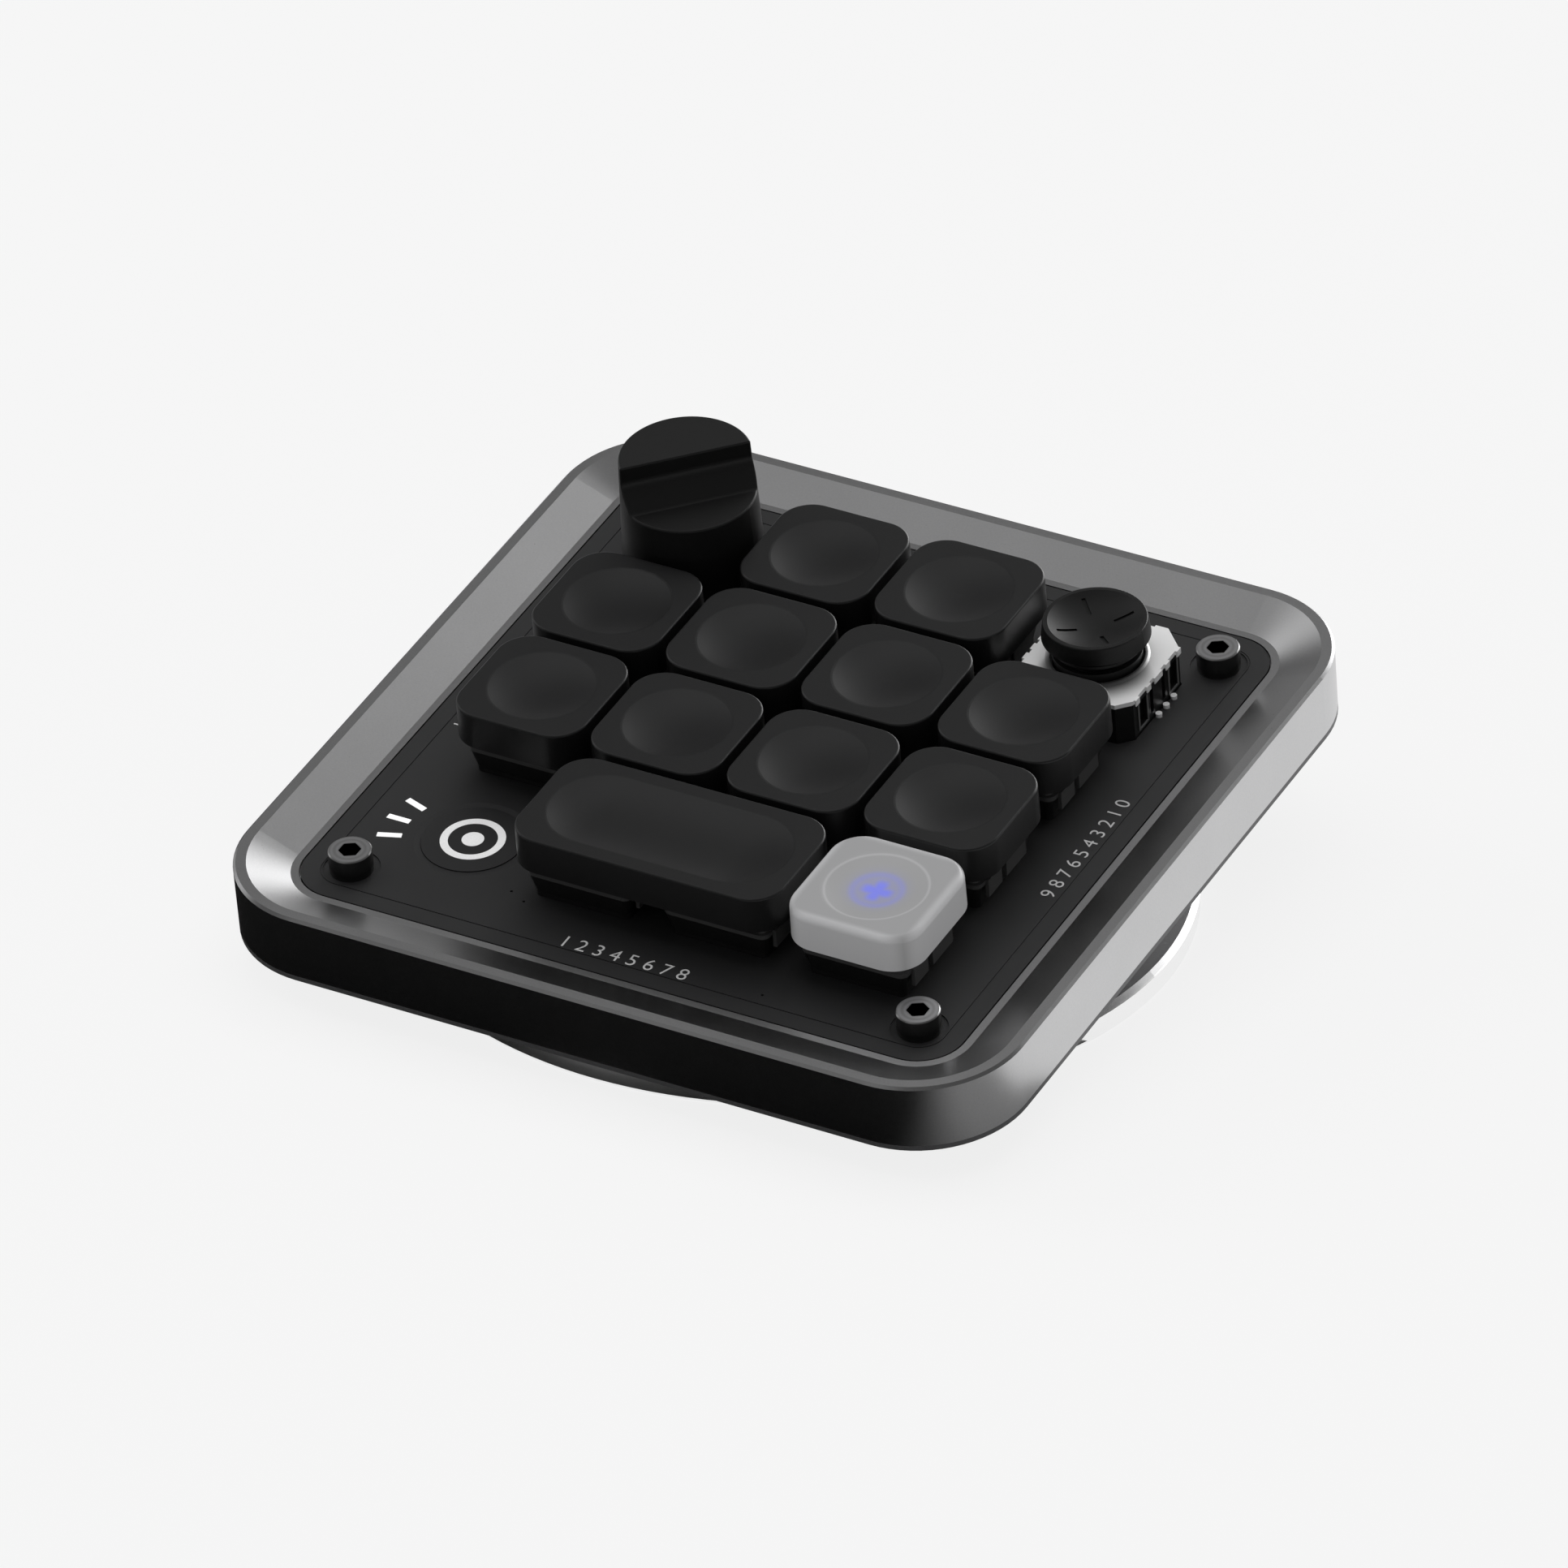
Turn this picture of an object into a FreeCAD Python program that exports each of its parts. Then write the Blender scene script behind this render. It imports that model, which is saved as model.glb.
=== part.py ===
import FreeCAD, Part
import math
import os

# A desk macro keypad with a turning knob and a thumb joystick, on a round wedge foot.
# Lengths are millimetres. Z points up from the desk and the user sits on the -Y side.
# The pieces of the keypad are drawn level, with Z = 0 on the top of the face plate and
# the middle of the key grid at X = Y = 0, and are leaned back on the foot at the end.

# Small allowances
overrun = 1.0
slip_gap = 0.1
running_gap = 0.05
thread_gap = 0.05
safe_gap = 0.3
edge_tolerance = 0.001

# Key grid
key_pitch = 19.05
key_rows = 4
key_columns = 4
key_travel = 3.0

# Case frame
case_corner = 14.0
case_depth = 7.35
rim_height = 2.15
rim_chamfer = 0.35
rim_width = 1.65
slope_width = 5.3
ledge_width = 1.0
case_wall = 4.35
lip_width = 2.0
lip_thickness = 1.5

# Face plate
plate_thickness = 1.5
plate_border = 7.6
plate_gap = 0.2
groove_inset = 2.5
groove_width = 0.15
groove_depth = 0.1
pin_hole_radius = 0.18
pin_hole_pitch = 2.4
pin_hole_drop = 7.2
pin_hole_edge = 4.2

# Plate screws, M3 socket heads
plate_screw_inset = 6.2
screw_radius = 1.5
screw_hole_gap = 0.2
socket_head_radius = 2.75
socket_head_chamfer = 0.15
socket_head_height = 3.0
socket_hex_flats = 2.5
socket_hex_depth = 1.6
spot_face_radius = 3.6
spot_face_depth = 0.2
plate_screw_length = 6.8
boss_wall = 1.45

# Bottom cover
cover_thickness = 1.0
cover_edge_height = 0.7
cover_inset = 3.0
cover_rim_height = 1.3
cover_rim_width = 1.5
post_radius = 1.6

# Circuit board
board_thickness = 1.6
board_drop = 2.2
board_edge_gap = 0.5
board_tab_half = 8.0
board_tab_length = 5.2
chip_side = 7.0
chip_height = 0.9
socket_length = 9.5
socket_width = 4.7
socket_height = 1.8
socket_offset = 4.7

# Charging and data socket at the back
usb_width = 8.94
usb_height = 3.2
usb_length = 7.35
usb_wall = 0.35
usb_recess = 0.85
usb_drop = 2.6
usb_tongue_width = 6.7
usb_tongue_height = 0.7
usb_tongue_length = 4.5
usb_slot_gap = 0.2

# Key switches
switch_plug_half = 6.15
switch_seat_half = 6.6
switch_seat_height = 0.7
switch_waist_half = 7.15
switch_flange_half = 7.3
switch_flange_height = 0.6
switch_split_height = 3.4
switch_top_half = 6.8
switch_crown_half = 6.3
switch_height = 5.4
switch_cavity_half = 5.2
switch_floor = 0.8
switch_lid = 1.0
switch_corner = 0.8
switch_flange_corner = 1.2
switch_post_radius = 1.9
switch_post_length = 2.4
spring_pin_radius = 1.1
spring_pin_height = 0.8
tab_reach = 0.4
tab_drop = 2.5
tab_length = 5.0
tab_offset = 1.5
hook_length = 3.4
hook_offset = -3.9

# Stems and springs of the switches
stem_radius = 3.0
stem_wall = 0.5
stem_head = 0.9
stem_below_flange = 1.6
stem_flange_half = 4.6
stem_flange_thickness = 0.6
cross_length = 4.0
cross_thickness = 1.3
cross_height = 2.2
spring_wire_radius = 0.17
spring_radius = 1.9
spring_turns = 5

# Key caps
cap_gap = 1.15
cap_draft = 0.05
cap_corner = 4.3
cap_inner_corner = 2.8
cap_bottom = 5.5
cap_top = 10.4
cap_wall = 1.0
cap_roof = 1.5
cap_edge_radius = 0.25
clear_cap_edge_radius = 0.9
dish_radius = 6.86
dish_depth = 0.8
dish_rim_radius = 1.2
cap_hub_radius = 2.75

# Rotary knob
knob_top = 20.0
knob_bottom = 3.1
knob_top_radius = 8.45
knob_bottom_radius = 9.05
knob_cut_angle = 43.8
knob_wall_drop = 2.8
knob_slope_run = 2.65
knob_slope_drop = 2.7
knob_edge_radius = 0.25
knob_shoulder_radius = 1.9
knob_valley_radius = 0.8
knob_skirt = 1.6
knob_hollow_top = 6.3
knob_shaft_cover = 7.6

# Rotary encoder
encoder_half_x = 5.9
encoder_half_y = 6.2
encoder_top = 1.6
encoder_wall = 0.7
encoder_cavity_radius = 5.0
bushing_radius = 4.2
bushing_top = 5.3
shaft_radius = 3.0
shaft_flat = 1.5
shaft_flat_bottom = 6.4
collar_radius = 4.6
collar_thickness = 0.6
plunger_radius = 4.6
plunger_thickness = 0.6
knob_press = 0.5

# Joystick
stick_pivot_height = 2.1
joystick_half = 8.4
joystick_corner_cut = 1.7
joystick_back_corner_cut = 2.9
joystick_box_top = 5.2
joystick_wall = 1.2
joystick_floor = 0.8
joystick_ceiling = 0.6
neck_margin = 2.7
neck_wall = 0.6
neck_top = 7.0
joystick_cover_thickness = 0.6
cover_hole_gap = 0.25
cover_skirt_width = 0.6
cover_skirt_height = 0.2
cover_tab_thickness = 0.3
cover_tab_drop = 0.9
cover_tab_shares = ((-0.71, 0.12), (-0.35, 0.12), (-0.05, 0.24), (0.25, 0.12), (0.6, 0.12))
cover_notch_depth = 0.35
cover_notch_width = 0.8
cover_left_notch_shares = (-0.55, -0.3, -0.05, 0.2, 0.5)
cover_back_notch_shares = (-0.5, 0.0, 0.4)
terminal_radius = 0.42
terminal_pitch = 2.0
terminal_middle = 0.7
terminal_top = 0.45
slot_depth = 0.6
slot_bottom = 0.9
slot_top = 4.6
slot_frame_width = 0.3
slot_frame_thickness = 0.15
wide_slot_shares = ((-0.53, 0.24), (0.425, 0.24))
narrow_slot_shares = ((-0.24, 0.09), (0.13, 0.09))
gimbal_gap = 0.4
gimbal_wall = 1.1
gimbal_half_height = 1.0
gimbal_pin_radius = 0.9
gimbal_pin_seat = 0.4
gimbal_web = 1.6
ball_gap = 0.4
ball_pin_radius = 0.7
dome_wall = 0.4
dome_half_angle = 58.0
stick_radius = 1.9
thumb_overhang = 1.05
thumb_top = 11.5
thumb_bottom = 9.2
thumb_rim = 0.6
thumb_draft = 0.3
thumb_waist_inset = 0.3
thumb_lip_overhang = 0.1
thumb_lip_top = 8.3
thumb_lip_bottom = 7.9
thumb_lip_wall = 0.6
thumb_roof = 9.4
thumb_hub_radius = 2.6
thumb_hub_bottom = 8.2
thumb_dish_depth = 1.3
thumb_edge_radius = 0.15
dash_start = 2.4
dash_end = 5.0
dash_width = 0.5
dash_depth = 0.2
dash_corners = 4

# Touch sensor and its indicator bars
touch_radius = 6.45
touch_thickness = 0.8
touch_bevel_width = 0.85
touch_bevel_depth = 0.12
bar_length = 3.1
bar_width = 0.82
bar_ring_radius = 10.5
bar_spread_angle = 18.5
bar_count = 3

# Foot
tilt_angle = 8.19
stand_height = 10.84
foot_radius = 50.6
foot_thickness = 3.3
foot_chamfer = 0.7
pad_radius = 46.0
pad_thickness = 1.2
pad_proud = 0.1
wedge_radius = 36.0
wedge_wall = 2.5
wedge_roof = 2.0
wedge_boss_radius = 3.4
wedge_boss_place = 30.0
wedge_boss_count = 4
foot_screw_reach = 2.4
stand_screw_reach = 2.2
flat_head_radius = 2.9
flat_head_height = 1.7
flat_head_slot = 0.8

# Places that follow from the sizes above
grid_half = key_columns * key_pitch / 2
plate_half = grid_half + plate_border
plate_opening_half = plate_half + plate_gap
slope_foot_half = plate_opening_half + ledge_width
rim_inner_half = slope_foot_half + slope_width
case_half = rim_inner_half + rim_width
plate_screw_place = plate_half - plate_screw_inset
lip_half = plate_opening_half - lip_width
pocket_half = case_half - case_wall
groove_half = plate_half - groove_inset
cover_top = -case_depth
cover_bottom = cover_top - cover_thickness
wall_bottom = cover_top + cover_edge_height
board_top = -board_drop
board_bottom = board_top - board_thickness
board_half = lip_half - board_edge_gap
boss_radius = screw_radius + boss_wall
switch_hole_half = switch_plug_half + slip_gap
cavity_floor = board_top + switch_floor
cavity_roof = switch_height - switch_lid
stem_top = cap_top - cap_roof - cross_height - slip_gap
stem_flange_top = cavity_roof - safe_gap
stem_flange_bottom = stem_flange_top - stem_flange_thickness
stem_bottom = stem_flange_bottom - stem_below_flange
spring_bore = stem_radius - stem_wall
cap_half = (key_pitch - cap_gap) / 2
wide_cap_half = cap_half + key_pitch / 2
usb_front = case_half - usb_recess
usb_back = usb_front - usb_length
usb_middle = -usb_drop - usb_height / 2
knob_floor = knob_top - knob_wall_drop - knob_slope_drop
shaft_top = knob_hollow_top + knob_shaft_cover - safe_gap
encoder_cavity_roof = encoder_top - encoder_wall
collar_top = encoder_cavity_roof - slip_gap
shaft_bottom = collar_top - collar_thickness
plunger_top = shaft_bottom - slip_gap
foot_top = pad_proud + foot_thickness
joystick_inner_half = joystick_half - joystick_wall
joystick_roof = joystick_box_top - joystick_ceiling
neck_radius = joystick_half - neck_margin
neck_bore = neck_radius - neck_wall
gimbal_radius = neck_bore - gimbal_gap
gimbal_bore = gimbal_radius - gimbal_wall
gimbal_pin_end = joystick_inner_half + gimbal_pin_seat
ball_radius = gimbal_bore - ball_gap
dome_radius = math.hypot(neck_bore - slip_gap, joystick_roof - stick_pivot_height)
thumb_lip_radius = neck_radius + thumb_lip_overhang
thumb_bore = thumb_lip_radius - thumb_lip_wall
thumb_radius = thumb_lip_radius + thumb_overhang


def vec(x, y, z):
    return FreeCAD.Vector(x, y, z)


def column_x(column):
    return (column - (key_columns - 1) / 2) * key_pitch


def row_y(row):
    return ((key_rows - 1) / 2 - row) * key_pitch


# Back row: knob, two keys, joystick. Front row: touch sensor, wide key, clear key.
knob_x, knob_y = column_x(0), row_y(0)
stick_x, stick_y = column_x(key_columns - 1), row_y(0)
touch_x, touch_y = column_x(0), row_y(key_rows - 1)
wide_columns = (1, 2)
small_keys = [(0, 1), (0, 2)]
small_keys += [(row, column) for row in (1, 2) for column in range(key_columns)]
small_keys.append((key_rows - 1, key_columns - 1))
clear_key = small_keys[-1]
switch_cells = small_keys + [(key_rows - 1, column) for column in wide_columns]


def rounded_outline(half_x, half_y, corner, z, x=0.0, y=0.0):
    """Closed outline of a rectangle with round corners, at height z."""
    corner = min(corner, half_x - edge_tolerance, half_y - edge_tolerance)
    arcs = []
    for quarter in range(4):
        start = quarter * math.pi / 2
        centre_x = x + math.copysign(half_x - corner, math.cos(start + math.pi / 4))
        centre_y = y + math.copysign(half_y - corner, math.sin(start + math.pi / 4))
        arcs.append([vec(centre_x + corner * math.cos(start + step * math.pi / 4),
                         centre_y + corner * math.sin(start + step * math.pi / 4), z)
                     for step in range(3)])
    loop = []
    for arc, following in zip(arcs, arcs[1:] + arcs[:1]):
        loop.append(Part.Arc(*arc).toShape())
        loop.append(Part.LineSegment(arc[2], following[0]).toShape())
    return Part.Wire(loop)


def rounded_block(half_x, half_y, corner, low, high, x=0.0, y=0.0):
    outline = rounded_outline(half_x, half_y, corner, low, x, y)
    return Part.Face(outline).extrude(vec(0, 0, high - low))


def lofted(outlines):
    return Part.makeLoft(outlines, True, True)


def tapered_block(low_half, high_half, corner, low, high, x=0.0, y=0.0):
    """Square block whose half width changes with height."""
    return lofted([rounded_outline(low_half, low_half, corner, low, x, y),
                   rounded_outline(high_half, high_half, corner, high, x, y)])


def box(low_x, high_x, low_y, high_y, low_z, high_z):
    return Part.makeBox(high_x - low_x, high_y - low_y, high_z - low_z, vec(low_x, low_y, low_z))


def drum(radius, low, high, x=0.0, y=0.0):
    return Part.makeCylinder(radius, high - low, vec(x, y, low))


def cone(low_radius, high_radius, low, high, x=0.0, y=0.0):
    return Part.makeCone(low_radius, high_radius, high - low, vec(x, y, low))


def prism(points, low, high):
    flat = [vec(px, py, low) for px, py in points]
    return Part.Face(Part.makePolygon(flat + flat[:1])).extrude(vec(0, 0, high - low))


def edges_at(shape, height):
    """Edges that lie all at one height."""
    return [edge for edge in shape.Edges
            if all(abs(corner.Z - height) < edge_tolerance for corner in edge.Vertexes)
            and abs(edge.CenterOfMass.z - height) < edge_tolerance]


def edges_near(shape, height, x, y, reach_x, reach_y):
    """Edges at one height that stay within a reach of the place x, y."""
    return [edge for edge in edges_at(shape, height)
            if max(abs(edge.BoundBox.XMin - x), abs(edge.BoundBox.XMax - x)) < reach_x + edge_tolerance
            and max(abs(edge.BoundBox.YMin - y), abs(edge.BoundBox.YMax - y)) < reach_y + edge_tolerance]


def four_corners(place):
    return [(side_x * place, side_y * place) for side_x in (-1, 1) for side_y in (-1, 1)]


def inset_corner(half):
    """Corner radius of an outline that runs parallel to the case's outer edge."""
    return max(case_corner - (case_half - half), edge_tolerance)


def parallel_outline(half, z):
    return rounded_outline(half, half, inset_corner(half), z)


def parallel_block(half, low, high):
    return rounded_block(half, half, inset_corner(half), low, high)


# Case frame: one machined aluminium ring with a sloped inner edge.
def make_case_frame():
    outer = lofted([parallel_outline(case_half, wall_bottom),
                    parallel_outline(case_half, rim_height - rim_chamfer),
                    parallel_outline(case_half - rim_chamfer, rim_height)])
    lean_out = slope_width / rim_height * overrun
    slope = lofted([parallel_outline(slope_foot_half, 0),
                    parallel_outline(rim_inner_half + lean_out, rim_height + overrun)])
    frame = outer.cut(slope)
    frame = frame.cut(parallel_block(plate_opening_half, -plate_thickness, overrun))
    frame = frame.cut(parallel_block(lip_half, cover_top, 0))
    lip_bottom = -plate_thickness - lip_thickness
    frame = frame.cut(parallel_block(pocket_half, cover_top - overrun, lip_bottom))
    tab_top = board_top + screw_hole_gap
    notch_half = board_tab_half + board_edge_gap
    frame = frame.cut(box(-notch_half, notch_half, 0, pocket_half, lip_bottom - overrun, tab_top))
    return frame.cut(usb_slot())


def usb_slot():
    half_width = usb_width / 2 + usb_slot_gap
    half_height = usb_height / 2 + usb_slot_gap
    outline = rounded_outline(half_width, half_height, half_height, 0)
    slot = Part.Face(outline).extrude(vec(0, 0, case_wall + 2 * overrun))
    slot.rotate(vec(0, 0, 0), vec(1, 0, 0), -90)
    slot.translate(vec(0, pocket_half - overrun, usb_middle))
    return slot


# Face plate: dark sheet that the switches stand in, held by four screws.
def make_face_plate():
    plate = parallel_block(plate_half, -plate_thickness, 0)
    ring = parallel_block(groove_half + groove_width / 2, -groove_depth, overrun)
    plate = plate.cut(ring.cut(parallel_block(groove_half - groove_width / 2, -groove_depth, overrun)))
    for row, column in switch_cells:
        plate = plate.cut(rounded_block(switch_hole_half, switch_hole_half, switch_corner,
                                        -plate_thickness - overrun, overrun,
                                        column_x(column), row_y(row)))
    for x, y in four_corners(plate_screw_place):
        plate = plate.cut(drum(screw_radius + screw_hole_gap, -plate_thickness - overrun, overrun, x, y))
        plate = plate.cut(drum(spot_face_radius, -spot_face_depth, overrun, x, y))
    plate = plate.cut(box(knob_x - encoder_half_x - slip_gap, knob_x + encoder_half_x + slip_gap,
                          knob_y - encoder_half_y - slip_gap, knob_y + encoder_half_y + slip_gap,
                          -plate_thickness - overrun, overrun))
    opening = chamfered_square(joystick_half + slip_gap, joystick_corner_cut, joystick_back_corner_cut)
    plate = plate.cut(prism(opening, -plate_thickness - overrun, overrun))
    for terminal in terminals(slip_gap, -plate_thickness - overrun, overrun):
        plate = plate.cut(terminal)
    touch_hole = touch_radius + running_gap
    plate = plate.cut(drum(touch_hole, -touch_thickness, overrun, touch_x, touch_y))
    bevel = Part.makeCone(touch_hole, touch_hole + 2 * touch_bevel_width, 2 * touch_bevel_depth)
    bevel.translate(vec(touch_x, touch_y, -touch_bevel_depth))
    plate = plate.cut(bevel)
    for bar in indicator_blocks(running_gap, -plate_thickness - overrun, overrun):
        plate = plate.cut(bar)
    for x, y in pin_hole_places():
        plate = plate.cut(drum(pin_hole_radius, -plate_thickness - overrun, overrun, x, y))
    return plate


def pin_hole_places():
    """Two small holes beside the touch sensor and one near the front edge."""
    beside = touch_y - pin_hole_drop
    return [(-key_pitch, beside), (pin_hole_pitch - key_pitch, beside - pin_hole_pitch / 2),
            (key_pitch, pin_hole_edge - plate_half)]


def indicator_blocks(gap, low, high):
    """Three bars on a ring round the touch sensor, on its left side."""
    bars = []
    for index in range(bar_count):
        angle = 180 + (index - (bar_count - 1) / 2) * bar_spread_angle
        bar = box(bar_ring_radius - bar_length / 2 - gap, bar_ring_radius + bar_length / 2 + gap,
                  -bar_width / 2 - gap, bar_width / 2 + gap, low, high)
        bar.rotate(vec(0, 0, 0), vec(0, 0, 1), angle)
        bar.translate(vec(touch_x, touch_y, 0))
        bars.append(bar)
    return bars


def make_indicator_bars():
    return Part.makeCompound(indicator_blocks(0, -plate_thickness, 0))


def make_touch_disc():
    return drum(touch_radius, -touch_thickness, 0, touch_x, touch_y)


# Plate screws: socket heads that stand on the plate and reach the cover's bosses.
def make_plate_screws():
    screws = []
    head_top = socket_head_height - spot_face_depth
    for x, y in four_corners(plate_screw_place):
        screw = drum(socket_head_radius, -spot_face_depth, head_top, x, y)
        screw = screw.makeChamfer(socket_head_chamfer, edges_at(screw, head_top))
        screw = screw.fuse(drum(screw_radius, -plate_screw_length, 0, x, y)).removeSplitter()
        reach = socket_hex_flats / math.sqrt(3)
        corners = [(x + reach * math.cos(math.radians(60 * k + 30)),
                    y + reach * math.sin(math.radians(60 * k + 30))) for k in range(6)]
        screws.append(screw.cut(prism(corners, head_top - socket_hex_depth, head_top + overrun)))
    return Part.makeCompound(screws)


# Bottom cover: closes the case and carries the screw bosses and the board posts.
def make_bottom_cover():
    cover = parallel_block(case_half - cover_inset, cover_bottom, cover_top)
    rim_half = pocket_half - safe_gap
    rim = parallel_block(case_half, cover_top, wall_bottom)
    rim = rim.fuse(parallel_block(rim_half, cover_top, cover_top + cover_rim_height))
    rim = rim.cut(parallel_block(rim_half - cover_rim_width, cover_top, cover_top + cover_rim_height))
    cover = cover.fuse(rim)
    for x, y in four_corners(plate_screw_place):
        cover = cover.fuse(drum(boss_radius, cover_top, -plate_thickness, x, y))
    for x, y in four_corners(key_pitch):
        cover = cover.fuse(drum(boss_radius, cover_top, cover_top + stand_screw_reach, x, y))
    for x, y in ((grid_half, 0), (-grid_half, 0), (0, grid_half), (0, -grid_half)):
        cover = cover.fuse(drum(post_radius, cover_top, board_bottom, x, y))
    cover = cover.removeSplitter()
    for x, y in four_corners(plate_screw_place):
        cover = cover.cut(drum(screw_radius + thread_gap, -plate_screw_length - safe_gap, overrun, x, y))
    for x, y in four_corners(key_pitch):
        cover = cover.cut(drum(screw_radius + thread_gap, cover_bottom - overrun,
                               cover_top + stand_screw_reach + overrun, x, y))
    return cover


# Circuit board and what is soldered to its underside.
def make_main_board():
    board = parallel_block(board_half, board_bottom, board_top)
    board = board.fuse(box(-board_tab_half, board_tab_half, board_half - overrun,
                           board_half + board_tab_length, board_bottom, board_top)).removeSplitter()
    usb_half = usb_width / 2 + slip_gap
    board = board.cut(box(-usb_half, usb_half, usb_back - slip_gap,
                          board_half + board_tab_length + overrun,
                          board_bottom - overrun, board_top + overrun))
    for x, y in four_corners(plate_screw_place):
        board = board.cut(drum(boss_radius + safe_gap, board_bottom - overrun, board_top + overrun, x, y))
    for row, column in switch_cells:
        board = board.cut(drum(switch_post_radius + slip_gap, board_bottom - overrun, board_top + overrun,
                               column_x(column), row_y(row)))
    return board


def make_board_parts():
    parts = [box(-chip_side / 2, chip_side / 2, -chip_side / 2, chip_side / 2,
                 board_bottom - chip_height, board_bottom)]
    for row, column in switch_cells:
        x, y = column_x(column), row_y(row) + socket_offset
        parts.append(rounded_block(socket_length / 2, socket_width / 2, switch_corner,
                                   board_bottom - socket_height, board_bottom, x, y))
    return Part.makeCompound(parts)


# Cable socket: a folded steel shell with a contact tongue.
def make_usb_socket():
    def pill(shrink, length):
        half_height = usb_height / 2 - shrink
        outline = rounded_outline(usb_width / 2 - shrink, half_height, half_height, 0)
        return Part.Face(outline).extrude(vec(0, 0, length))
    shell = pill(0, usb_length)
    mouth = pill(usb_wall, usb_length)
    mouth.translate(vec(0, 0, usb_wall))
    shell = shell.cut(mouth)
    tongue = box(-usb_tongue_width / 2, usb_tongue_width / 2, -usb_tongue_height / 2,
                 usb_tongue_height / 2, usb_wall / 2, usb_wall + usb_tongue_length)
    shell = shell.fuse(tongue).removeSplitter()
    shell.rotate(vec(0, 0, 0), vec(1, 0, 0), -90)
    shell.translate(vec(0, usb_back, usb_middle))
    return shell


# Switches: a base that plugs through the plate and a top that keeps the stem in.
def switch_base(x, y):
    plug = rounded_block(switch_plug_half, switch_plug_half, switch_corner, board_top, 0, x, y)
    seat = rounded_block(switch_seat_half, switch_seat_half, switch_corner, 0, switch_seat_height, x, y)
    body = tapered_block(switch_seat_half, switch_waist_half, switch_corner,
                         switch_seat_height, switch_split_height, x, y)
    base = plug.fuse([seat, body]).removeSplitter()
    base = base.cut(rounded_block(switch_cavity_half, switch_cavity_half, switch_corner,
                                  cavity_floor, switch_split_height + overrun, x, y))
    base = base.fuse(drum(spring_pin_radius, cavity_floor - switch_floor / 2,
                          cavity_floor + spring_pin_height, x, y))
    post_bottom = board_top - switch_post_length
    base = base.fuse(drum(switch_post_radius, post_bottom, cavity_floor - switch_floor / 2, x, y))
    return base.removeSplitter()


def switch_top(x, y):
    flange_top = switch_split_height + switch_flange_height
    flange = rounded_block(switch_flange_half, switch_flange_half, switch_flange_corner,
                           switch_split_height, flange_top, x, y)
    crown = tapered_block(switch_top_half, switch_crown_half, switch_corner, flange_top, switch_height, x, y)
    top = flange.fuse(crown).removeSplitter()
    for side in (-1, 1):
        for offset, length in ((tab_offset, tab_length), (hook_offset, hook_length)):
            inner = switch_waist_half + running_gap
            outer = switch_flange_half + tab_reach
            middle = y + side * offset
            tab = box(min(side * inner, side * outer) + x, max(side * inner, side * outer) + x,
                      middle - length / 2, middle + length / 2, flange_top - tab_drop, flange_top)
            top = top.fuse(tab)
    top = top.removeSplitter()
    top = top.cut(rounded_block(switch_cavity_half, switch_cavity_half, switch_corner,
                                switch_split_height - overrun, cavity_roof, x, y))
    return top.cut(drum(stem_radius + slip_gap, 0, switch_height + overrun, x, y))


def make_switch_bases():
    return Part.makeCompound([switch_base(column_x(column), row_y(row)) for row, column in switch_cells])


def make_switch_tops():
    return Part.makeCompound([switch_top(column_x(column), row_y(row)) for row, column in switch_cells])


def cross_block(length, thickness, low, high, x, y):
    arm = box(x - length / 2, x + length / 2, y - thickness / 2, y + thickness / 2, low, high)
    other = box(x - thickness / 2, x + thickness / 2, y - length / 2, y + length / 2, low, high)
    return arm.fuse(other).removeSplitter()


def stem(x, y):
    """Sliding stem: a hollow post with a keeper flange and a cross that the cap grips."""
    body = drum(stem_radius, stem_bottom, stem_top, x, y)
    flange = rounded_block(stem_flange_half, stem_flange_half, switch_corner,
                           stem_flange_bottom, stem_flange_top, x, y)
    body = body.fuse(flange).removeSplitter()
    body = body.cut(drum(spring_bore, stem_bottom - overrun, stem_flange_top - stem_head + safe_gap, x, y))
    cross = cross_block(cross_length, cross_thickness, stem_top - stem_head / 2,
                        stem_top + cross_height, x, y)
    return body.fuse(cross).removeSplitter()


def spring(x, y):
    """Coil of round wire between the switch floor and the roof of the stem's bore."""
    low = cavity_floor + spring_wire_radius + running_gap
    high = stem_flange_top - stem_head + safe_gap - spring_wire_radius - running_gap
    lead = (high - low) / (2 * math.pi * spring_turns)

    def on_coil(angle):
        return vec(x + spring_radius * math.cos(angle), y + spring_radius * math.sin(angle),
                   low + lead * angle)
    quarter = math.pi / 2
    arcs = []
    for step in range(4 * spring_turns):
        start = step * quarter
        arcs.append(Part.Arc(on_coil(start), on_coil(start + quarter / 2),
                             on_coil(start + quarter)).toShape())
    path = Part.Wire(arcs)
    section = Part.Wire(Part.Circle(on_coil(0), vec(0, spring_radius, lead), spring_wire_radius).toShape())
    return path.makePipeShell([section], True, False)


# Key caps: hollow shells with a dished top and a hub that grips the stem's cross.
def dish_cutter(x, y, span):
    ball_radius_of_dish = (dish_radius ** 2 + dish_depth ** 2) / (2 * dish_depth)
    centre_z = cap_top + ball_radius_of_dish - dish_depth
    cutters = [Part.makeSphere(ball_radius_of_dish, vec(x + side * span / 2, y, centre_z))
               for side in ((-1, 1) if span else (0,))]
    if span:
        cutters.append(Part.makeCylinder(ball_radius_of_dish, span, vec(x - span / 2, y, centre_z),
                                         vec(1, 0, 0)))
    return cutters


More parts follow.
